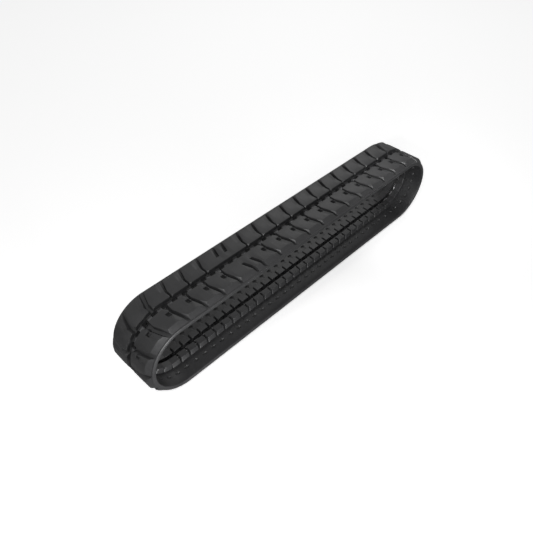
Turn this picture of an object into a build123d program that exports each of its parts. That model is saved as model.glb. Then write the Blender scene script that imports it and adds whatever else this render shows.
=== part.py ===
from build123d import *

import os
from math import degrees, pi, sqrt

# A rubber track for a mini excavator, standing on its lower run.
# +X runs along the belt, +Y is its left side, +Z is up. The origin lies on the
# floor under the middle of the belt. All sizes are in millimetres.

# ---- Driving sizes -------------------------------------------------------------
belt_width = 250.0
link_pitch = 48.5           # from one steel core to the next, along the cords
link_count = 80
end_radius = 165.0          # outer surface of the carcass round each end

carcass_thickness = 18.0
inner_rubber_thickness = 9.0
cord_thickness = 3.0

window_width = 28.0         # sprocket window, across the belt
core_length = 20.0          # along the belt, so a window is one pitch less this
core_span = 190.0           # tip to tip of the two wings
core_cover = 3.0            # rubber between a wing and the roller path
wing_tip_thickness = 3.5
wing_root_thickness = 5.0
bridge_thickness = 12.0     # of the middle of a core, between two windows

guide_height = 22.0
guide_base_length = 42.0
guide_base_width = 27.0
guide_end_draft = 6.5       # degrees
guide_outer_draft = 17.0

lug_height = 17.0
lugs_per_row = 43.5         # 41 regular lugs and one joint lug of two and a half
joint_lug_pitches = 2.5
joint_start = -486.3        # left groove of the left joint lug, along the top run
channel_width = 31.0        # between the two rows of lugs
narrow_groove = 6.0         # between two lugs, from the channel to the elbow
wide_groove = 15.0          # from the elbow to the edge of the belt
elbow_offset = 44.0         # of the elbow, from the middle of the belt
groove_lean = 0.33          # the outer part runs forward by this per unit outward
channel_lean = 2.0          # the groove's mouth in the channel lies this far forward
pocket_depth = 10.0         # notch in a lug's front side at the elbow
pocket_width = 12.0
lug_edge_gap = 3.0          # from the foot of a lug to the edge of the belt
lug_draft = 6.0             # degrees
lug_slope_run = 14.0        # bevel over a lug's outer end, across the belt
lug_slope_drop = 12.0

# ---- Sizes that follow ---------------------------------------------------------
half_width = belt_width / 2
window_side = window_width / 2
inner_radius = end_radius - carcass_thickness
cord_inner_radius = inner_radius + inner_rubber_thickness
cord_radius = cord_inner_radius + cord_thickness / 2
cord_outer_radius = cord_inner_radius + cord_thickness
belt_length = link_pitch * link_count
run_length = (belt_length - 2 * pi * cord_radius) / 2
arc_length = pi * cord_radius
centre_height = end_radius + lug_height
lug_pitch = belt_length / lugs_per_row
inner_surface = inner_radius - cord_radius      # heights over the cord line
outer_surface = end_radius - cord_radius

os.makedirs("parts", exist_ok=True)


def belt_plane(distance):
    """Plane on the cord line, this far along the belt from the middle of the top run.

    Its x runs forward along the belt, its y to the belt's left, its z outwards.
    """
    s = distance % belt_length
    if s > belt_length - run_length / 2:
        s -= belt_length
    if s <= run_length / 2:
        return Plane((s, 0, centre_height + cord_radius), (1, 0, 0), (0, 0, 1))
    s -= run_length / 2
    if s < arc_length:
        front = Plane((run_length / 2, 0, centre_height), (1, 0, 0), (0, 0, 1))
        return front.rotated((0, degrees(s / cord_radius), 0)).offset(cord_radius)
    s -= arc_length
    if s <= run_length:
        start = (run_length / 2 - s, 0, centre_height - cord_radius)
        return Plane(start, (-1, 0, 0), (0, 0, -1))
    s -= run_length
    rear = Plane((-run_length / 2, 0, centre_height), (-1, 0, 0), (0, 0, -1))
    return rear.rotated((0, degrees(s / cord_radius), 0)).offset(cord_radius)


STRETCHES = ("top_run", "bottom_run", "end_arcs")


def stretch_of(distance):
    """Name of the stretch of belt that this place lies in."""
    s = (distance + run_length / 2) % (belt_length / 2)
    if s > run_length:
        return "end_arcs"
    return "top_run" if belt_plane(distance).z_dir.Z > 0 else "bottom_run"


def loop_solid(radius, near, far):
    """Solid loop of this end radius, between two distances from the belt's middle."""
    side = Plane((0, near, centre_height), (1, 0, 0), (0, 1, 0))
    with BuildPart() as loop:
        with BuildSketch(side):
            SlotCenterToCenter(run_length, 2 * radius)
        extrude(amount=far - near)
    return loop.part


def save(part, name):
    part.label = name
    export_step(part, f"parts/{name}.step")


# ---- Steel core: two wings in the rubber and a deep bridge between two windows ----
wing_top = inner_surface + core_cover
with BuildPart() as core:
    with BuildSketch(Plane.YZ):
        with BuildLine():
            Polyline(
                (core_span / 2, wing_top),
                (core_span / 2, wing_top + wing_tip_thickness),
                (window_side, wing_top + wing_root_thickness),
                (window_side, wing_top + bridge_thickness),
                (0, wing_top + bridge_thickness),
                (0, wing_top),
                close=True,
            )
        make_face()
        mirror(about=Plane.YZ)
    extrude(amount=core_length / 2, both=True)

core_places = [link_pitch * link for link in range(link_count)]


def cores_at(places):
    with BuildPart() as group:
        with Locations(*[belt_plane(place) for place in places]):
            add(core.part)
    return group.part


for stretch in STRETCHES:
    places = [place for place in core_places if stretch_of(place) == stretch]
    save(cores_at(places), f"steel_cores_{stretch}")

# ---- Inner rubber: one band each side of the windows, moulded round the wings ----
with BuildPart() as inner_rubber_left:
    add(loop_solid(cord_inner_radius, window_side, half_width))
    add(loop_solid(inner_radius, window_side, half_width), mode=Mode.SUBTRACT)
    add(cores_at(core_places), mode=Mode.SUBTRACT)
save(inner_rubber_left.part, "inner_rubber_left")

with BuildPart() as inner_rubber_right:
    mirror(inner_rubber_left.part, about=Plane.XZ)
save(inner_rubber_right.part, "inner_rubber_right")

# ---- Cord layer and tread base: two more endless bands on each inner rubber ----
with BuildPart() as cord_layer_left:
    add(loop_solid(cord_outer_radius, window_side, half_width))
    add(loop_solid(cord_inner_radius, window_side, half_width), mode=Mode.SUBTRACT)
with BuildPart() as tread_base_left:
    add(loop_solid(end_radius, window_side, half_width))
    add(loop_solid(cord_outer_radius, window_side, half_width), mode=Mode.SUBTRACT)

for band, name in ((cord_layer_left, "cord_layer"), (tread_base_left, "tread_base")):
    with BuildPart() as other_side:
        mirror(band.part, about=Plane.XZ)
    save(band.part, f"{name}_left")
    save(other_side.part, f"{name}_right")

# ---- Guide lugs: rubber over each core's horns, one row each side of the windows ----
with BuildPart() as guide_lug:
    with BuildSketch(Plane.XY.offset(inner_surface)):
        with Locations((0, window_side + guide_base_width / 2)):
            Rectangle(guide_base_length, guide_base_width)
    extrude(amount=-guide_height)
    base = Plane.XY.offset(inner_surface).rotated((180, 0, 0))
    ends = guide_lug.faces().filter_by(Axis.X)
    draft(ends, base, guide_end_draft)
    draft(guide_lug.faces().sort_by(Axis.Y)[-1], base, guide_outer_draft)

loop_inside = loop_solid(inner_radius, -half_width, half_width)

for stretch in STRETCHES:
    places = [place for place in core_places if stretch_of(place) == stretch]
    with BuildPart() as guides_left:
        with Locations(*[belt_plane(place) for place in places]):
            add(guide_lug.part)
        add(loop_inside, mode=Mode.INTERSECT)
    with BuildPart() as guides_right:
        mirror(guides_left.part, about=Plane.XZ)
    save(guides_left.part, f"guide_lugs_left_{stretch}")
    save(guides_right.part, f"guide_lugs_right_{stretch}")

# ---- Tread lugs: flat blocks with an elbow and a pocket in each groove ----
lug_foot = half_width - lug_edge_gap
lug_top = outer_surface + lug_height
lug_reach = lug_pitch / 2 + groove_lean * (lug_foot - elbow_offset)
lug_root = end_radius - sqrt(end_radius**2 - lug_reach**2)


def groove_middle(across):
    """How far forward the middle of a groove lies at this distance from the centre."""
    return groove_lean * (across - elbow_offset)


def lug_outline(length):
    """Corners of a lug's foot, from the middle of one groove to that of another."""
    back, front = -length / 2, length / 2
    mouth = channel_width / 2
    narrow, wide = narrow_groove / 2, wide_groove / 2
    pocket_end = elbow_offset + pocket_width
    return [
        (back + channel_lean + narrow, mouth),
        (front + channel_lean - narrow, mouth),
        (front - narrow, elbow_offset),
        (front - wide - pocket_depth, elbow_offset),
        (front + groove_middle(pocket_end) - wide, pocket_end),
        (front + groove_middle(lug_foot) - wide, lug_foot),
        (back + groove_middle(lug_foot) + wide, lug_foot),
        (back + narrow, elbow_offset),
    ]


def slot_outline(middle):
    """Corners of a slot that ends at the elbow, open at the lug's outer end."""
    wide = wide_groove / 2
    start, end = elbow_offset + pocket_width / 2, half_width
    return [
        (middle + groove_middle(start) - wide, start),
        (middle + groove_middle(end) - wide, end),
        (middle + groove_middle(end) + wide, end),
        (middle + groove_middle(start) + wide, start),
    ]


def tread_lug(length, slots=()):
    """One lug, rooted deep enough to meet the carcass where it bends."""
    foot = Plane.XY.offset(outer_surface - lug_root)
    height = lug_height + lug_root
    with BuildPart() as lug:
        with BuildSketch(foot):
            with BuildLine():
                Polyline(*lug_outline(length), close=True)
            make_face()
        extrude(amount=height)
        walls = lug.faces().filter_by(lambda face: abs(face.normal_at().Z) < 0.5)
        draft(walls, Plane.XY.offset(outer_surface), lug_draft)
        with BuildSketch(Plane.YZ):
            with BuildLine():
                Polyline(
                    (lug_foot - lug_slope_run, lug_top),
                    (lug_foot + lug_slope_run, lug_top),
                    (lug_foot + lug_slope_run, lug_top - 2 * lug_slope_drop),
                    close=True,
                )
            make_face()
        extrude(amount=length, both=True, mode=Mode.SUBTRACT)
        for middle in slots:
            with BuildSketch(Plane.XY.offset(outer_surface)):
                with BuildLine():
                    Polyline(*slot_outline(middle), close=True)
                make_face()
            extrude(amount=lug_height, mode=Mode.SUBTRACT)
    return lug.part


joint_length = joint_lug_pitches * lug_pitch
joint_slots = (lug_pitch - joint_length / 2, 1.5 * lug_pitch - joint_length / 2)
left_lug = tread_lug(lug_pitch)
left_joint_lug = tread_lug(joint_length, joint_slots)
right_lug = mirror(left_lug, about=Plane.XZ)
right_joint_lug = mirror(left_joint_lug, about=Plane.XZ)
carcass = loop_solid(end_radius, -half_width, half_width)
regular_lugs = round(lugs_per_row - joint_lug_pitches)


def seated(shape, places):
    """Copies of a lug at these places, seated on the carcass and flat on the floor."""
    with BuildPart() as group:
        with Locations(*[belt_plane(place) for place in places]):
            add(shape)
        add(carcass, mode=Mode.SUBTRACT)
        split(bisect_by=Plane.XY)
    return group.part


for side, lug, joint_lug, stagger in (
    ("left", left_lug, left_joint_lug, 0),
    ("right", right_lug, right_joint_lug, lug_pitch / 2),
):
    joint_end = joint_start + stagger + joint_length
    save(seated(joint_lug, [joint_end - joint_length / 2]), f"joint_lug_{side}")
    lug_places = [joint_end + lug_pitch * (lug_index + 0.5) for lug_index in range(regular_lugs)]
    for stretch in STRETCHES:
        places = [place for place in lug_places if stretch_of(place) == stretch]
        save(seated(lug, places), f"tread_lugs_{side}_{stretch}")
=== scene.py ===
from math import cos, degrees, hypot, pi, radians, sin, sqrt, tan

import bmesh
import bpy
from mathutils import Matrix, Vector


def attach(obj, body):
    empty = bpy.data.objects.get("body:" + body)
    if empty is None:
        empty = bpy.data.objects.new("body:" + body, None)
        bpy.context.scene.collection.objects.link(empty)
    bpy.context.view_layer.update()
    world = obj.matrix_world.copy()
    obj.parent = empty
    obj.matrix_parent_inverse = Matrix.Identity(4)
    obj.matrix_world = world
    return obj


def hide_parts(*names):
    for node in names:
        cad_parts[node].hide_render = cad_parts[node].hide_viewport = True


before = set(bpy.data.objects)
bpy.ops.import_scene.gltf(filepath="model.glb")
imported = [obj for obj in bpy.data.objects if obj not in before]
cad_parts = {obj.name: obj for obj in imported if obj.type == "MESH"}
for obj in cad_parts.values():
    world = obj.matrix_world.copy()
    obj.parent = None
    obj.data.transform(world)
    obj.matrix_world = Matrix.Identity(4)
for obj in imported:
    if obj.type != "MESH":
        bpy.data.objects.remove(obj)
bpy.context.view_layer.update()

# A rubber track: two endless bands of rubber joined by steel cores, with guide
# lugs inside and tread lugs outside. Shapes are written in millimetres in the
# belt's own frame (x forward along the belt, y to its left, z outwards from the
# steel cords) and laid round the loop by geometry nodes.
MM = 0.001

# ---- Sizes of the belt, in millimetres -------------------------------------------
HALF_WIDTH = 125.0
LINK_PITCH = 48.5
LINKS = 80
CORD_RADIUS = 157.5
BELT_LENGTH = LINK_PITCH * LINKS
ARC_LENGTH = pi * CORD_RADIUS
RUN_LENGTH = BELT_LENGTH / 2 - ARC_LENGTH
CENTRE_HEIGHT = 182.0
INNER_SURFACE = -10.5
OUTER_SURFACE = 7.5
WINDOW_SIDE = 14.0
BAR_LENGTH = 20.0

LUG_HEIGHT = 17.0
LUG_TOP = OUTER_SURFACE + LUG_HEIGHT
LUG_ROOT = 9.0
LUG_PITCH = BELT_LENGTH / 43.5
REGULAR_LUGS = 41
JOINT_LENGTH = 2.5 * LUG_PITCH
JOINT_START = -486.3
CHANNEL_SIDE = 15.5
ELBOW = 44.0
LUG_FOOT = 122.0
NARROW_GROOVE = 5.0
WIDE_GROOVE = 12.0
GROOVE_LEAN = 0.33
CHANNEL_LEAN = 2.0
STRIP_WIDTH = 17.0
STRIP_DROP = 2.5
LUG_DRAFT = tan(radians(6))
SLOPE_START = 101.0
SLOPE = 0.95

WELD_DISTANCE = 0.02
SLICE_TOLERANCE = 0.01


# ---- Nodes written as expressions ------------------------------------------------
class Wire:
    """An output socket that takes part in Python arithmetic."""

    def __init__(self, tree, socket):
        self.tree = tree
        self.socket = socket

    def out(self, name):
        return Wire(self.tree, self.socket.node.outputs[name])

    def __add__(self, other):
        return self.tree.math("ADD", self, other)

    def __radd__(self, other):
        return self.tree.math("ADD", other, self)

    def __sub__(self, other):
        return self.tree.math("SUBTRACT", self, other)

    def __rsub__(self, other):
        return self.tree.math("SUBTRACT", other, self)

    def __mul__(self, other):
        return self.tree.math("MULTIPLY", self, other)

    def __rmul__(self, other):
        return self.tree.math("MULTIPLY", other, self)

    def __truediv__(self, other):
        return self.tree.math("DIVIDE", self, other)

    def __rtruediv__(self, other):
        return self.tree.math("DIVIDE", other, self)

    def __mod__(self, other):
        return self.tree.math("FLOORED_MODULO", self, other)

    def __rmod__(self, other):
        return self.tree.math("FLOORED_MODULO", other, self)

    def between(self, low, high):
        return self.tree.math("MINIMUM", self.tree.math("MAXIMUM", self, low), high)


class Tree:
    """A node tree whose nodes all come from one method."""

    def __init__(self, tree):
        self.tree = tree

    def node(self, kind, settings=None, sockets=None, output=0):
        """Adds a node: first its settings, then the values or links of its sockets."""
        made = self.tree.nodes.new(kind)
        for name, value in (settings or {}).items():
            setattr(made, name, value)
        for name, value in (sockets or {}).items():
            if isinstance(value, Wire):
                self.tree.links.new(value.socket, made.inputs[name])
            else:
                made.inputs[name].default_value = value
        return Wire(self, made.outputs[output]) if made.outputs else made

    def math(self, operation, *values):
        return self.node("ShaderNodeMath", {"operation": operation}, dict(enumerate(values)))

    def vector(self, x, y, z):
        return self.node("ShaderNodeCombineXYZ", None, {"X": x, "Y": y, "Z": z})

    def split(self, vector):
        """The x, y and z of a vector."""
        first = self.node("ShaderNodeSeparateXYZ", None, {0: vector})
        return first, first.out("Y"), first.out("Z")


# ---- Laying shapes round the loop ------------------------------------------------
def turn_of_belt(tree, distance):
    """How far the belt has turned at this distance from the middle of its top run."""
    along = (distance + RUN_LENGTH / 2) % BELT_LENGTH
    front = ((along - RUN_LENGTH) / CORD_RADIUS).between(0.0, pi)
    return front + ((along - (2 * RUN_LENGTH + ARC_LENGTH)) / CORD_RADIUS).between(0.0, pi)


def place_on_loop(tree, distance, height):
    """Position in metres of a place on the belt's centre plane, and the belt's turn there."""
    along = (distance + RUN_LENGTH / 2) % BELT_LENGTH
    turn = turn_of_belt(tree, distance)
    back_run = (along - (RUN_LENGTH + ARC_LENGTH)).between(0.0, RUN_LENGTH)
    centre = along.between(0.0, RUN_LENGTH) - back_run - RUN_LENGTH / 2
    radius = height + CORD_RADIUS
    x = centre + radius * tree.math("SINE", turn)
    z = CENTRE_HEIGHT + radius * tree.math("COSINE", turn)
    return x * MM, z * MM, turn


def new_tree(name, inputs):
    """A geometry tree with these named inputs, as a Tree and a dict of input wires."""
    group = bpy.data.node_groups.new(name, "GeometryNodeTree")
    for socket, kind in inputs.items():
        group.interface.new_socket(name=socket, in_out="INPUT", socket_type=kind)
    group.interface.new_socket(name="Geometry", in_out="OUTPUT", socket_type="NodeSocketGeometry")
    tree = Tree(group)
    source = tree.node("NodeGroupInput")
    return tree, {socket: source.out(socket) for socket in inputs}


def close_tree(tree, geometry, material):
    """Ends a tree in plain geometry of one material, kept above the floor."""
    plain = tree.node("GeometryNodeRealizeInstances", None, {"Geometry": geometry})
    here = tree.node("ShaderNodeSeparateXYZ", None, {0: tree.node("GeometryNodeInputPosition")})
    kept = tree.vector(here.out("X"), here.out("Y"), tree.math("MAXIMUM", here.out("Z"), 0.0))
    plain = tree.node("GeometryNodeSetPosition", None, {"Geometry": plain, "Position": kept})
    plain = tree.node("GeometryNodeSetMaterial", None, {"Geometry": plain, "Material": material})
    tree.node("NodeGroupOutput", None, {"Geometry": plain})
    return tree.tree


ROW_INPUTS = {
    "Piece": "NodeSocketObject",
    "Count": "NodeSocketInt",
    "First place": "NodeSocketFloat",
    "Pitch": "NodeSocketFloat",
    "Material": "NodeSocketMaterial",
}


def row_tree():
    """Rigid copies of a piece, set on the belt at a pitch."""
    tree, given = new_tree("row on the belt", ROW_INPUTS)
    points = tree.node("GeometryNodeMeshLine", None, {"Count": given["Count"], "Offset": (0, 0, 0)})
    index = tree.node("GeometryNodeInputIndex")
    distance = given["First place"] + index * given["Pitch"]
    x, z, turn = place_on_loop(tree, distance, 0.0)
    points = tree.node("GeometryNodeSetPosition", None,
                       {"Geometry": points, "Position": tree.vector(x, 0.0, z)})
    piece = tree.node("GeometryNodeObjectInfo", None, {"Object": given["Piece"]})
    rotation = tree.node("FunctionNodeEulerToRotation", None, {"Euler": tree.vector(0.0, turn, 0.0)})
    row = tree.node("GeometryNodeInstanceOnPoints", None,
                    {"Points": points, "Instance": piece.out("Geometry"), "Rotation": rotation})
    return close_tree(tree, row, given["Material"])


def bent_tree(name, relaxed):
    """Copies of a piece set along the flat belt, joined, then bent round the loop.

    A relaxed piece stands on the belt: bent at its foot, its top keeps its own length.
    """
    tree, given = new_tree(name, ROW_INPUTS)
    step = tree.vector(given["Pitch"] * MM, 0.0, 0.0)
    start = tree.vector(given["First place"] * MM, 0.0, 0.0)
    points = tree.node("GeometryNodeMeshLine", None,
                       {"Count": given["Count"], "Start Location": start, "Offset": step})
    place = tree.node("ShaderNodeSeparateXYZ", None, {0: tree.node("GeometryNodeInputPosition")})
    points = tree.node("GeometryNodeStoreNamedAttribute", None,
                       {"Geometry": points, "Name": "middle", "Value": place.out("X") / MM})
    piece = tree.node("GeometryNodeObjectInfo", None, {"Object": given["Piece"]})
    row = tree.node("GeometryNodeInstanceOnPoints", None,
                    {"Points": points, "Instance": piece.out("Geometry")})
    row = tree.node("GeometryNodeRealizeInstances", None, {"Geometry": row})
    here = tree.node("ShaderNodeSeparateXYZ", None, {0: tree.node("GeometryNodeInputPosition")})
    distance, height = here.out("X") / MM, here.out("Z") / MM
    if relaxed:
        middle = tree.node("GeometryNodeInputNamedAttribute", None, {"Name": "middle"})
        bend = turn_of_belt(tree, distance) - turn_of_belt(tree, middle)
        bend = (bend + pi) % (2 * pi) - pi
        freedom = ((height - OUTER_SURFACE) / LUG_HEIGHT).between(0.0, 1.0)
        distance = distance - bend * freedom * height * CORD_RADIUS / (height + CORD_RADIUS)
    x, z, turn = place_on_loop(tree, distance, height)
    row = tree.node("GeometryNodeSetPosition", None,
                    {"Geometry": row, "Position": tree.vector(x, here.out("Y"), z)})
    row = tree.node("GeometryNodeMergeByDistance", None, {"Geometry": row, "Distance": WELD_DISTANCE * MM})
    return close_tree(tree, row, given["Material"])


def finished(name, mesh, sharp_angle):
    """An object for a finished mesh, smooth apart from its sharp edges."""
    mesh.name = name
    mesh.polygons.foreach_set("use_smooth", [True] * len(mesh.polygons))
    mesh.set_sharp_from_angle(angle=radians(sharp_angle))
    made = bpy.data.objects.new(name, mesh)
    bpy.context.scene.collection.objects.link(made)
    return made


def laid_out(name, group, piece, count, first, pitch, material, sharp_angle=32):
    """Runs one of the trees on a piece and returns the result as a plain object."""
    values = {"Piece": piece, "Count": count, "First place": first, "Pitch": pitch,
              "Material": material}
    carrier = bpy.data.objects.new("carrier", bpy.data.meshes.new("carrier"))
    bpy.context.scene.collection.objects.link(carrier)
    modifier = carrier.modifiers.new("row", "NODES")
    modifier.node_group = group
    for socket in group.interface.items_tree:
        if socket.in_out == "INPUT":
            modifier[socket.identifier] = values[socket.name]
    shown = carrier.evaluated_get(bpy.context.evaluated_depsgraph_get())
    mesh = bpy.data.meshes.new_from_object(shown)
    bpy.data.objects.remove(carrier)
    return finished(name, mesh, sharp_angle)


def pattern(name, shape):
    """Turns a bmesh in millimetres into an object that a tree can copy."""
    bmesh.ops.scale(shape, vec=(MM, MM, MM), verts=shape.verts)
    mesh = bpy.data.meshes.new(name)
    shape.to_mesh(mesh)
    shape.free()
    made = bpy.data.objects.new(name, mesh)
    bpy.context.scene.collection.objects.link(made)
    return made


# ---- Solid shapes ----------------------------------------------------------------
def inset(outline, amount):
    """The outline with each side moved inwards by this much."""
    moved = []
    count = len(outline)
    for i in range(count):
        before, here, after = (Vector(outline[(i + k) % count]) for k in (-1, 0, 1))
        one = (here - before).normalized()
        two = (after - here).normalized()
        normal_one = Vector((-one.y, one.x))
        normal_two = Vector((-two.y, two.x))
        miter = normal_one + normal_two
        moved.append(here + miter * (amount / (1 + normal_one.dot(normal_two))))
    return moved


def drafted_block(outline, low, high, level, draft):
    """A block on an anticlockwise outline, whose walls lean in above the level."""
    shape = bmesh.new()
    rings = []
    for height in (low, high):
        ring = inset(outline, draft * (height - level))
        rings.append([shape.verts.new((x, y, height)) for x, y in ring])
    shape.faces.new(rings[0][::-1])
    shape.faces.new(rings[1])
    for i in range(len(outline)):
        j = (i + 1) % len(outline)
        shape.faces.new((rings[0][i], rings[0][j], rings[1][j], rings[1][i]))
    return shape


def cut_away(shape, point, normal):
    """Cuts off what lies on the normal's side of a plane, and closes the cut."""
    everything = shape.verts[:] + shape.edges[:] + shape.faces[:]
    result = bmesh.ops.bisect_plane(shape, geom=everything, plane_co=point, plane_no=normal,
                                    clear_outer=True)
    edges = [item for item in result["geom_cut"] if isinstance(item, bmesh.types.BMEdge)]
    bmesh.ops.contextual_create(shape, geom=edges)
    bmesh.ops.recalc_face_normals(shape, faces=shape.faces)


def round_edges(shape, width, segments, floor, angle=20):
    """Rounds each edge sharper than the angle that lies above the floor level."""
    edges = [
        edge for edge in shape.edges
        if len(edge.link_faces) == 2
        and degrees(edge.calc_face_angle()) > angle
        and max(vert.co.z for vert in edge.verts) > floor
    ]
    bmesh.ops.bevel(shape, geom=edges, offset=width, segments=segments, profile=0.5,
                    affect="EDGES", clamp_overlap=True, loop_slide=True)


def slice_along(shape, low, high, step):
    """Cuts every face across the belt at this step, so that the piece can bend."""
    count = round((high - low) / step)
    for i in range(1, count):
        everything = shape.verts[:] + shape.edges[:] + shape.faces[:]
        bmesh.ops.bisect_plane(shape, geom=everything, dist=SLICE_TOLERANCE,
                               plane_co=(low + (high - low) * i / count, 0, 0), plane_no=(1, 0, 0))


def carve(shape, tools):
    """Subtracts each of the tools from the shape with an exact boolean."""
    body = pattern("body", shape)
    for tool in tools:
        cutter = pattern("cutter", tool)
        modifier = body.modifiers.new("cut", "BOOLEAN")
        modifier.operation = "DIFFERENCE"
        modifier.solver = "EXACT"
        modifier.object = cutter
        result = bpy.data.meshes.new_from_object(
            body.evaluated_get(bpy.context.evaluated_depsgraph_get()))
        body.modifiers.clear()
        body.data = result
        bpy.data.objects.remove(cutter)
    carved = bmesh.new()
    carved.from_mesh(body.data)
    bmesh.ops.scale(carved, vec=(1 / MM,) * 3, verts=carved.verts)
    bpy.data.objects.remove(body)
    return carved


# ---- Tread lugs ------------------------------------------------------------------
# A right lug is made as a left one and mirrored. It has a pocket and a wide notch.
RIGHT_NOTCH = 12.0
LEFT_NOTCH = 3.0
NOTCH_SLANT = 4.0
NOTCH_STEP = 0.7
ELBOW_NARROWING = 1.0
CHANNEL_FOOT = WINDOW_SIDE - 0.2
CHANNEL_RIM = CHANNEL_SIDE - 0.9
CHANNEL_REACH = 2.5
LUG_ROUNDING = 1.1
ROUNDING_SEGMENTS = 2
ROUNDING_FLOOR = OUTER_SURFACE + 0.5
FOOT_LEVEL = OUTER_SURFACE + 1
LUG_SLICE = 9.0
CUTTER_OVERRUN = 1.0
SIDE_OVERRUN = 10.0

POCKET_OUT = 9.0
POCKET_BEHIND = 17.0
POCKET_CORNERS = ((-10, -3), (7, -3), (8, 17), (-8, 17))
POCKET_DEPTH = 12.0
POCKET_OVERRUN = 2.0
POCKET_DRAFT = -0.06
SLOT_OUT = 7.0

STRIP_OUT = 12.0
STRIP_OVERRUN = 4.0
STRIP_STEP = 0.8
STRIP_CUTTER_RISE = 3.0

# Three planes that trim a lug: the way each faces, and where it passes.
BACK_BEVEL_FACING = (-0.68, 0.40, 0.62)
BACK_BEVEL_BEHIND = 7.6
BACK_BEVEL_HEIGHT = 9.0
FRONT_BEVEL_FACING = (0.80, 0.42, 0.42)
FRONT_BEVEL_BEHIND = 3.0
FRONT_BEVEL_HEIGHT = 2.0
MOUTH_FACET_FACING = (-0.66, -0.42, 0.62)
MOUTH_FACET_AHEAD = 4.0
MOUTH_FACET_OUT = 6.0


def groove_middle(across):
    """How far forward a groove's middle lies at this distance from the belt's middle."""
    return GROOVE_LEAN * (across - ELBOW)


def lug_outline(length, notch):
    """Foot of a left lug, anticlockwise, between the middles of two grooves."""
    back, front = -length / 2, length / 2
    narrow, wide = NARROW_GROOVE / 2, WIDE_GROOVE / 2
    return [
        (back + CHANNEL_LEAN + narrow, CHANNEL_SIDE),
        (front + CHANNEL_LEAN - narrow - notch, CHANNEL_SIDE),
        (front + CHANNEL_LEAN - narrow - NOTCH_STEP, CHANNEL_SIDE + NOTCH_SLANT + notch),
        (front - narrow - ELBOW_NARROWING, ELBOW),
        (front + groove_middle(LUG_FOOT) - wide, LUG_FOOT),
        (back + groove_middle(LUG_FOOT) + wide, LUG_FOOT),
        (back + narrow + ELBOW_NARROWING, ELBOW),
    ]


def pocket_tool(front):
    """The pocket beside the groove at the elbow, as a solid to carve away."""
    middle = front + groove_middle(ELBOW + POCKET_OUT) - POCKET_BEHIND
    corners = [(middle + along, ELBOW + across) for along, across in POCKET_CORNERS]
    return drafted_block(corners, LUG_TOP - POCKET_DEPTH, LUG_TOP + POCKET_OVERRUN, LUG_TOP,
                         POCKET_DRAFT)


def slot_tool(middle):
    """Cutter for a slot from the elbow out over the lug's end."""
    wide = WIDE_GROOVE / 2
    start, end = ELBOW + SLOT_OUT, HALF_WIDTH + SIDE_OVERRUN
    outline = [
        (middle + groove_middle(start) - wide, start),
        (middle + groove_middle(start) + wide, start),
        (middle + groove_middle(end) + wide, end),
        (middle + groove_middle(end) - wide, end),
    ]
    return drafted_block(outline, OUTER_SURFACE - CUTTER_OVERRUN, LUG_TOP + CUTTER_OVERRUN,
                         OUTER_SURFACE, -LUG_DRAFT)


def strip_tool(front):
    """Cutter that slopes the strip of a lug's top between its pocket and its front edge."""
    crease = front - WIDE_GROOVE / 2 - STRIP_WIDTH
    edge = front - WIDE_GROOVE / 2 + STRIP_OVERRUN
    low = LUG_TOP - STRIP_DROP * (STRIP_WIDTH + STRIP_OVERRUN) / STRIP_WIDTH
    high = LUG_TOP + STRIP_CUTTER_RISE
    places = [(crease, LUG_TOP - STRIP_STEP), (edge, low), (edge, high), (crease, high)]
    shape = bmesh.new()
    ends = []
    for across in (ELBOW + STRIP_OUT, HALF_WIDTH + SIDE_OVERRUN):
        lean = groove_middle(across)
        ends.append([shape.verts.new((x + lean, across, z)) for x, z in places])
    for i in range(4):
        j = (i + 1) % 4
        shape.faces.new((ends[0][i], ends[0][j], ends[1][j], ends[1][i]))
    shape.faces.new(ends[0])
    shape.faces.new(ends[1])
    bmesh.ops.recalc_face_normals(shape, faces=shape.faces)
    return shape


def tread_lug(length, pocket, slots=()):
    """A left lug with its end slope, sloping strip, corner facets and rounded edges."""
    outline = lug_outline(length, RIGHT_NOTCH if pocket else LEFT_NOTCH)
    shape = drafted_block(outline, OUTER_SURFACE - LUG_ROOT, LUG_TOP, OUTER_SURFACE, LUG_DRAFT)
    for vert in shape.verts:
        if vert.co.y < CHANNEL_SIDE + CHANNEL_REACH:
            vert.co.y = CHANNEL_FOOT if vert.co.z < FOOT_LEVEL else CHANNEL_RIM
    back = -length / 2
    corner = back + groove_middle(LUG_FOOT) + WIDE_GROOVE / 2
    cut_away(shape, (0, SLOPE_START, LUG_TOP), (0, SLOPE, 1))
    cut_away(shape, (corner - BACK_BEVEL_BEHIND, SLOPE_START, OUTER_SURFACE + BACK_BEVEL_HEIGHT),
             BACK_BEVEL_FACING)
    corner = length / 2 + groove_middle(LUG_FOOT) - WIDE_GROOVE / 2
    cut_away(shape, (corner - FRONT_BEVEL_BEHIND, LUG_FOOT, OUTER_SURFACE + FRONT_BEVEL_HEIGHT),
             FRONT_BEVEL_FACING)
    if pocket:
        tools = [pocket_tool(length / 2)]
    else:
        mouth = back + CHANNEL_LEAN + NARROW_GROOVE / 2
        cut_away(shape, (mouth + MOUTH_FACET_AHEAD, CHANNEL_SIDE + MOUTH_FACET_OUT, LUG_TOP),
                 MOUTH_FACET_FACING)
        tools = []
    tools += [slot_tool(middle) for middle in slots] + [strip_tool(length / 2)]
    shape = carve(shape, tools)
    round_edges(shape, LUG_ROUNDING, ROUNDING_SEGMENTS, ROUNDING_FLOOR)
    slice_along(shape, -length / 2, length / 2, LUG_SLICE)
    return shape


def mirrored(shape):
    """The same piece for the belt's other side."""
    bmesh.ops.scale(shape, vec=(1, -1, 1), verts=shape.verts)
    bmesh.ops.reverse_faces(shape, faces=shape.faces)
    return shape


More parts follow.
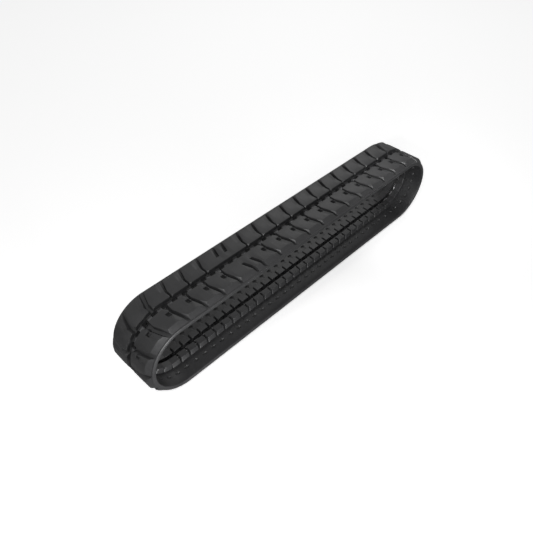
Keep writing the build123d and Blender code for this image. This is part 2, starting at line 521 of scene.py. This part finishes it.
# ---- Guide lugs ------------------------------------------------------------------
GUIDE_RINGS = (
    # height above the roller path, half length, inner side, outer side
    (-1.0, 22.2, 14.0, 42.4),
    (0.0, 21.8, 14.0, 41.8),
    (1.2, 21.4, 13.8, 41.1),
    (20.8, 20.2, 9.5, 39.8),
    (23.0, 19.8, 9.0, 39.0),
    (24.0, 19.0, 9.6, 37.6),
)
GUIDE_INNER_CORNER = 2.0
GUIDE_OUTER_CORNER = 3.6


def rounded_ring(half, inner, outer, small, large):
    """A rounded rectangle: small corners on the window's side, large ones outside."""
    ring = []
    corners = (
        ((half - small, inner + small), small, -90),
        ((half - large, outer - large), large, 0),
        ((large - half, outer - large), large, 90),
        ((small - half, inner + small), small, 180),
    )
    for (x, y), radius, start in corners:
        for turned in (0, 30, 60, 90):
            angle = radians(start + turned)
            ring.append((x + radius * cos(angle), y + radius * sin(angle)))
    return ring


def guide_lug():
    """A left guide lug with rounded corners, leaning in over the windows at its top."""
    shape = bmesh.new()
    rings = []
    for height, half, inner, outer in GUIDE_RINGS:
        ring = rounded_ring(half, inner, outer, GUIDE_INNER_CORNER, GUIDE_OUTER_CORNER)
        rings.append([shape.verts.new((x, y, INNER_SURFACE - height)) for x, y in ring])
    for one, two in zip(rings, rings[1:]):
        for i in range(len(one)):
            j = (i + 1) % len(one)
            shape.faces.new((one[i], one[j], two[j], two[i]))
    shape.faces.new(rings[0])
    shape.faces.new(rings[-1])
    bmesh.ops.recalc_face_normals(shape, faces=shape.faces)
    return shape


# ---- Bands of rubber -------------------------------------------------------------
BAND_EDGE_RADIUS = 3.0
SEAM_RISE = 0.3
SEAM_HALF_WIDTH = 0.6
WINDOW_WALL = WINDOW_SIDE - 0.7
WINDOW_FILLET = 4.5
WINDOW_LIP = ((0.0, 1.5), (0.5, 0.5), (1.5, 0.0))

DIMPLE_PLACE = 75
DIMPLE_HALF_LENGTH = 11
DIMPLE_HALF_WIDTH = 6.5
DIMPLE_DEPTH = 5.5
DIMPLE_FULLNESS = 0.45
CROSS_GROOVE_START = 44
CROSS_GROOVE_END = 68
CROSS_GROOVE_RAMP = 3
CROSS_GROOVE_DEPTH = 0.8
CROSS_GROOVE_HALF = 3.5
CROSS_GROOVE_SIDE = 1.75


def band_link():
    """One link's length of the left band, centred on a window, open at both ends."""
    side = HALF_WIDTH - SEAM_RISE
    half_x = [0, 1.75, 3.5, 5.2, 7.0, 9.75, 11.6, 13.2, 14.25, 18.5, LINK_PITCH / 2]
    xs = [-x for x in half_x[:0:-1]] + half_x
    inner_ys = [19, 30, 43, 45, 47, 65, 68.3, 69.8, 71.6, 73.3, 75, 76.7, 78.4, 80.2, 81.7, 100]
    quarter_turn = [pi / 2 * k / 3 for k in range(4)]

    def window_edge(x):
        """Where the window's wall lies at this place, with a fillet at its corners."""
        past = abs(x) - (LINK_PITCH - BAR_LENGTH) / 2 + WINDOW_FILLET
        if past <= 0:
            return WINDOW_WALL
        rise = sqrt(max(WINDOW_FILLET ** 2 - min(past, WINDOW_FILLET) ** 2, 0))
        return WINDOW_WALL - WINDOW_FILLET + rise

    def ramp(distance, length):
        """Rises from 0 to 1 over this length."""
        return min(max(distance / length, 0), 1)

    def recess(x, y):
        """Depth below the roller path: a dimple at the window, a groove beside the guides."""
        reach = hypot(x / DIMPLE_HALF_LENGTH, (y - DIMPLE_PLACE) / DIMPLE_HALF_WIDTH)
        dimple = DIMPLE_DEPTH * max(0.0, 1 - reach ** 2) ** DIMPLE_FULLNESS if reach < 1 else 0.0
        across = (ramp(y - CROSS_GROOVE_START, CROSS_GROOVE_RAMP)
                  * ramp(CROSS_GROOVE_END - y, CROSS_GROOVE_RAMP))
        along = ramp(CROSS_GROOVE_HALF - abs(x), CROSS_GROOVE_SIDE)
        groove = CROSS_GROOVE_DEPTH * across * along
        return max(dimple, groove)

    def section(x):
        """Points of the cross-section at this place, going round it once."""
        near = window_edge(x)
        points = [(near + out, INNER_SURFACE + rise) for out, rise in WINDOW_LIP]
        points += [(y, INNER_SURFACE + recess(x, y)) for y in inner_ys]
        for angle in quarter_turn:
            from_side = BAND_EDGE_RADIUS * (1 - sin(angle))
            points.append((side - from_side, INNER_SURFACE + BAND_EDGE_RADIUS * (1 - cos(angle))))
        points += [(side, -SEAM_HALF_WIDTH), (HALF_WIDTH, 0.0), (side, SEAM_HALF_WIDTH)]
        for angle in quarter_turn:
            from_side = BAND_EDGE_RADIUS * (1 - cos(angle))
            points.append((side - from_side, OUTER_SURFACE - BAND_EDGE_RADIUS * (1 - sin(angle))))
        points += [(80, OUTER_SURFACE), (40, OUTER_SURFACE)]
        points += [(near + out, OUTER_SURFACE - rise) for out, rise in WINDOW_LIP[::-1]]
        return points

    shape = bmesh.new()
    rings = [[shape.verts.new((x, y, z)) for y, z in section(x)] for x in xs]
    for one, two in zip(rings, rings[1:]):
        count = len(one)
        for i in range(count):
            j = (i + 1) % count
            shape.faces.new((one[i], one[j], two[j], two[i]))
    bmesh.ops.recalc_face_normals(shape, faces=shape.faces)
    middle = max(shape.faces, key=lambda face: face.calc_center_median().z)
    if middle.normal.z < 0:
        bmesh.ops.reverse_faces(shape, faces=shape.faces)
    return shape


# ---- Steel cores -----------------------------------------------------------------
BAR_SKIN = 1.2
BAR_TOP = -7.5
BAR_BOTTOM = 4.5
BAR_UPPER_CORNER = ((0.0, 2.5), (1.2, 0.8), (3.5, 0.0))
BAR_LOWER_CORNER = ((0.0, 2.5), (1.4, 0.8), (3.5, 0.0))
BAR_END = WINDOW_SIDE + 1
WING_SIZE = (BAR_LENGTH, 80.0, 4.0)
WING_DEPTH = 3.0


def steel_core():
    """A core: a deep bar between two windows and a wing into each band."""
    half = BAR_LENGTH / 2 + BAR_SKIN
    upper = [(run - half, BAR_TOP + drop) for run, drop in BAR_UPPER_CORNER]
    lower = [(run - half, BAR_BOTTOM - drop) for run, drop in BAR_LOWER_CORNER]
    section = upper + [(-x, z) for x, z in upper[::-1]] + [(-x, z) for x, z in lower] + lower[::-1]
    shape = bmesh.new()
    ends = []
    for y in (-BAR_END, BAR_END):
        ends.append([shape.verts.new((x, y, z)) for x, z in section])
    for i in range(len(section)):
        j = (i + 1) % len(section)
        shape.faces.new((ends[0][i], ends[0][j], ends[1][j], ends[1][i]))
    for side, ring in ((-1, ends[0]), (1, ends[1])):
        shape.faces.new(ring)
        wing = bmesh.ops.create_cube(shape, size=1)["verts"]
        bmesh.ops.scale(shape, vec=WING_SIZE, verts=wing)
        wing_middle = side * (BAR_END + WING_SIZE[1] / 2)
        bmesh.ops.translate(shape, vec=(0, wing_middle, BAR_TOP + WING_DEPTH), verts=wing)
    bmesh.ops.recalc_face_normals(shape, faces=shape.faces)
    return shape


# ---- Materials -------------------------------------------------------------------
def new_material(name):
    """An empty material and its tree."""
    material = bpy.data.materials.new(name)
    material.use_nodes = True
    material.node_tree.nodes.clear()
    return material, Tree(material.node_tree)


def noise(tree, place, scale, detail):
    """A cloudy value about a half, with this many patches to a metre."""
    return tree.node("ShaderNodeTexNoise", None,
                     {"Vector": place, "Scale": scale, "Detail": detail, "Roughness": 0.5})


def blend_colour(tree, factor, one, two):
    """The first colour at 0 and the second at 1."""
    return tree.node("ShaderNodeMix", {"data_type": "RGBA"},
                     {"Factor": factor, 6: one, 7: two}, output=2)


def moulded_rubber():
    """Satin black rubber from a steel mould, with faint bloom and fine grain."""
    material, tree = new_material("moulded_rubber")
    place = tree.node("ShaderNodeTexCoord", output="Object")
    bloom = noise(tree, place, 14.0, 3.0)
    smear = noise(tree, place, 75.0, 3.0)
    grain = noise(tree, place, 1400.0, 2.0)
    cloud = (bloom - 0.5) * 1.2 + (smear - 0.5) * 0.6 + 0.5
    clean, bloomed = (0.017, 0.017, 0.018, 1), (0.030, 0.030, 0.031, 1)
    colour = blend_colour(tree, cloud.between(0.0, 1.0), clean, bloomed)
    roughness = 0.40 + (smear - 0.5) * 0.14 + (grain - 0.5) * 0.08
    relief = (grain - 0.5) * 0.6 + (smear - 0.5) * 1.0
    bump = tree.node("ShaderNodeBump", None, {"Height": relief, "Strength": 0.10, "Distance": 0.0006})
    shader = tree.node("ShaderNodeBsdfPrincipled", None, {
        "Base Color": colour, "Roughness": roughness.between(0.2, 0.8), "Normal": bump,
        "IOR": 1.5})
    tree.node("ShaderNodeOutputMaterial", None, {"Surface": shader})
    return material


def coated_steel():
    """Forged steel under a thin dark coat, as the bars of the cores have. The faces turned to the inside
    of the loop are painted much lighter. This is painted light, standing in for lamp light that hardly
    reaches the bars between the guides.
    """
    material, tree = new_material("coated_steel")
    place = tree.node("ShaderNodeTexCoord", output="Object")
    patch = noise(tree, place, 90.0, 3.0)
    grain = noise(tree, place, 900.0, 2.0)
    along, _, height = tree.split(place)
    geometry = tree.node("ShaderNodeNewGeometry", output="Normal")
    lean, _, rise = tree.split(geometry)
    # Painted light: faces turned to the inside of the loop get a much lighter steel colour in place of
    # lamp light that hardly reaches them.
    straight = RUN_LENGTH / 2 * MM
    past = tree.math("MAXIMUM", along - straight, 0) + tree.math("MINIMUM", along + straight, 0)
    facing = lean * past + rise * (height - CENTRE_HEIGHT * MM)
    painted_light_mask = (facing * -20.0).between(0.0, 1.0)
    coat = blend_colour(tree, patch, (0.100, 0.100, 0.103, 1), (0.160, 0.160, 0.164, 1))
    # The painted light colour for the loop-facing faces of the bars.
    painted_light_steel = blend_colour(tree, patch, (0.340, 0.340, 0.345, 1), (0.460, 0.460, 0.465, 1))
    colour = blend_colour(tree, painted_light_mask, coat, painted_light_steel)
    roughness = 0.36 + (patch - 0.5) * 0.2
    bump = tree.node("ShaderNodeBump", None, {
        "Height": grain + patch * 0.8, "Strength": 0.2, "Distance": 0.0005})
    shader = tree.node("ShaderNodeBsdfPrincipled", None, {
        "Base Color": colour, "Roughness": roughness.between(0.2, 0.8),
        "Metallic": 0.5, "Normal": bump})
    tree.node("ShaderNodeOutputMaterial", None, {"Surface": shader})
    return material


def floor_paint():
    """Pale floor, plain white to the eye, that throws little light back up."""
    material, tree = new_material("floor_paint")
    seen = tree.node("ShaderNodeLightPath", output="Is Camera Ray")
    paint = tree.node("ShaderNodeBsdfDiffuse", None, {"Color": (0.9, 0.9, 0.9, 1)})
    glow = tree.node("ShaderNodeEmission", None, {"Color": (1, 1, 1, 1), "Strength": 0.42})
    white = tree.node("ShaderNodeAddShader", None, {0: paint, 1: glow})
    grey = tree.node("ShaderNodeBsdfDiffuse", None, {"Color": (0.3, 0.3, 0.3, 1)})
    shader = tree.node("ShaderNodeMixShader", None, {0: seen, 1: grey, 2: white})
    tree.node("ShaderNodeOutputMaterial", None, {"Surface": shader})
    return material


RUBBER = moulded_rubber()
STEEL = coated_steel()

# ---- The belt --------------------------------------------------------------------
STRETCHES = ("top_run", "bottom_run", "end_arcs")
ROWS = row_tree()
BANDS = bent_tree("band round the loop", False)
LUGS = bent_tree("lugs on the belt", True)

joint_slots = (LUG_PITCH - JOINT_LENGTH / 2, 1.5 * LUG_PITCH - JOINT_LENGTH / 2)
patterns = {
    "lug": (tread_lug(LUG_PITCH, False), tread_lug(LUG_PITCH, True)),
    "joint": (tread_lug(JOINT_LENGTH, False, joint_slots), tread_lug(JOINT_LENGTH, True, joint_slots)),
    "guide": (guide_lug(), guide_lug()),
    "band": (band_link(), band_link()),
}
shared = []
for side, stagger in (("left", 0.0), ("right", LUG_PITCH / 2)):
    shapes = {
        name: pattern(f"{name}_{side}", left if side == "left" else mirrored(right))
        for name, (left, right) in patterns.items()
    }
    shared += shapes.values()
    joint_end = JOINT_START + stagger + JOINT_LENGTH
    made = [
        (laid_out(f"{side}_tread_lugs", LUGS, shapes["lug"], REGULAR_LUGS,
                  joint_end + LUG_PITCH / 2, LUG_PITCH, RUBBER),
         [f"tread_lugs_{side}_{stretch}" for stretch in STRETCHES]),
        (laid_out(f"{side}_joint_lug", LUGS, shapes["joint"], 1, joint_end - JOINT_LENGTH / 2,
                  LUG_PITCH, RUBBER),
         [f"joint_lug_{side}"]),
        (laid_out(f"{side}_guide_lugs", ROWS, shapes["guide"], LINKS, 0.0, LINK_PITCH, RUBBER),
         [f"guide_lugs_{side}_{stretch}" for stretch in STRETCHES]),
        (laid_out(f"{side}_band", BANDS, shapes["band"], LINKS, LINK_PITCH / 2, LINK_PITCH, RUBBER),
         [f"inner_rubber_{side}", f"cord_layer_{side}", f"tread_base_{side}"]),
    ]
    for piece, nodes in made:
        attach(piece, "root")
        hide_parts(*nodes)

core = pattern("core", steel_core())
shared.append(core)
cores = laid_out("steel_core_row", ROWS, core, LINKS, 0.0, LINK_PITCH, STEEL)
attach(cores, "root")
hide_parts(*[f"steel_cores_{stretch}" for stretch in STRETCHES])

for made in shared:
    bpy.data.objects.remove(made)

# ---- Floor, light and camera -----------------------------------------------------
FLOOR_REACH = 40
FLOOR_DROP = 0.0005
FILL_STRENGTH = 0.49
BACKDROP_STRENGTH = 1.0

floor_corners = [(FLOOR_REACH * x, FLOOR_REACH * y, 0) for x, y in ((-1, -1), (1, -1), (1, 1), (-1, 1))]
floor_mesh = bpy.data.meshes.new("floor")
floor_mesh.from_pydata(floor_corners, [], [(0, 1, 2, 3)])
floor = bpy.data.objects.new("floor", floor_mesh)
bpy.context.scene.collection.objects.link(floor)
floor.data.materials.append(floor_paint())
floor.location.z = -FLOOR_DROP

scene = bpy.context.scene
scene.view_settings.view_transform = "Standard"

world = bpy.data.worlds.new("studio")
scene.world = world
world.use_nodes = True
world.node_tree.nodes.clear()
sky = Tree(world.node_tree)
path = sky.node("ShaderNodeLightPath", output="Is Camera Ray")
seen = sky.math("MAXIMUM", path, path.out("Is Transmission Ray"))
backdrop = sky.node("ShaderNodeBackground", None,
                    {"Color": (1, 1, 1, 1), "Strength": BACKDROP_STRENGTH})
fill = sky.node("ShaderNodeBackground", None, {"Color": (1, 1, 1, 1), "Strength": FILL_STRENGTH})
mixed = sky.node("ShaderNodeMixShader", None, {0: seen, 1: fill, 2: backdrop})
sky.node("ShaderNodeOutputWorld", None, {"Surface": mixed})


BELT_MIDDLE = (0, 0, 0.18)
ALL_ROUND = 180
LIGHTS = (
    # name, direction from the place that it faces, distance, size, power, that place, spread
    ("behind", (0.6, 0.47, 0.65), 5.0, 2.0, 15.5, BELT_MIDDLE, ALL_ROUND),
    ("over the middle", (-0.76, -0.34, 0.58), 2.2, 0.12, 11.5, (0.1, -0.1, 0.36), ALL_ROUND),
    ("beside the rear end", (-0.1, -1, 0.0), 1.3, 0.4, 24.0, (-0.8, -0.125, 0.2), ALL_ROUND),
    ("above the rear end", (-0.9, 0.1, 0.9), 3.0, 1.2, 2.5, BELT_MIDDLE, ALL_ROUND),
    ("towards the front end", (-0.72, -0.40, 0.56), 0.8, 0.25, 0.9, (0.85, -0.1, 0.3), 95),
    ("across the guides", (-0.5, -1, 0.7), 1.2, 0.4, 0.3, (-0.3, 0, 0.05), ALL_ROUND),
)


def area_light(name, direction, distance, size, power, aim, spread):
    """A square soft light that faces a place from this direction."""
    light = bpy.data.lights.new(name, "AREA")
    light.energy, light.size = power, size
    light.spread = radians(spread)
    made = bpy.data.objects.new(name, light)
    bpy.context.scene.collection.objects.link(made)
    towards = Vector(direction).normalized()
    made.location = Vector(aim) + towards * distance
    made.rotation_euler = towards.to_track_quat("Z", "Y").to_euler()


for values in LIGHTS:
    area_light(*values)

CAMERA_PLACE = (-1.4279, -1.2434, 1.9226)
CAMERA_YAW = radians(44.54)
CAMERA_DOWN = radians(44.49)
CAMERA_ROLL = radians(0.08)
CAMERA_LENS = 37.667
CAMERA_SENSOR = 36.0
camera_data = bpy.data.cameras.new("camera")
camera_data.sensor_width = CAMERA_SENSOR
camera_data.lens = CAMERA_LENS
camera = bpy.data.objects.new("camera", camera_data)
scene.collection.objects.link(camera)
camera.matrix_world = (
    Matrix.Translation(CAMERA_PLACE)
    @ Matrix.Rotation(CAMERA_YAW - pi / 2, 4, "Z")
    @ Matrix.Rotation(pi / 2 - CAMERA_DOWN, 4, "X")
    @ Matrix.Rotation(CAMERA_ROLL, 4, "Z")
)
scene.camera = camera
